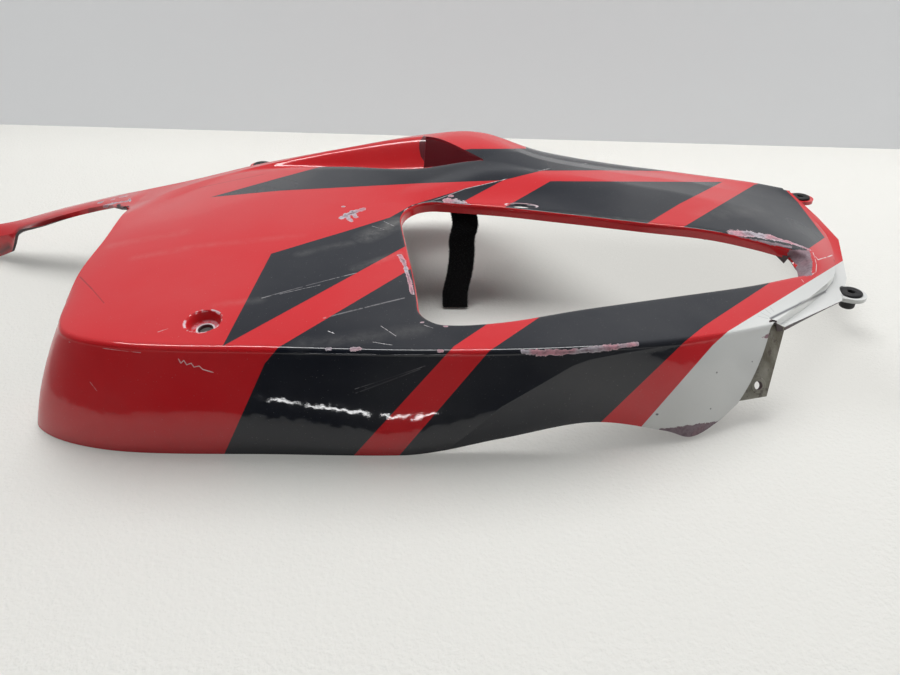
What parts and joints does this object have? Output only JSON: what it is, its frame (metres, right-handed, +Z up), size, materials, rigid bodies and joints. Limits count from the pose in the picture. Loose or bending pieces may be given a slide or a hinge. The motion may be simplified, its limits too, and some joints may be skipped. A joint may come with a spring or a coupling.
{
  "type": "motorcycle side fairing",
  "caption": "Thin moulded side fairing with an open vent, a scooped channel under a small hood, a rear arm and a stepped front ledge that takes rubber well nuts.",
  "frame": {"origin": "centre of the bounding box at floor level, the shell lying with its face up", "axes": "+X to the pointed front end, +Y from the upright wall across the face, +Z up from the floor"},
  "size_m": [0.8952, 0.4126, 0.1209],
  "materials": {
    "painted_shell": "gloss paint",
    "nut_rubber": "matte",
    "insert_brass": "dull",
    "foam": "fuzzy"
  },
  "bodies": {
    "root": {"fairing_shell": "painted_shell", "front_well_nut": "nut_rubber", "far_well_nut": "nut_rubber", "rear_well_nut": "nut_rubber", "front_insert": "insert_brass", "far_insert": "insert_brass", "rear_insert": "insert_brass", "foam_strip": "foam"}
  },
  "joints": []
}
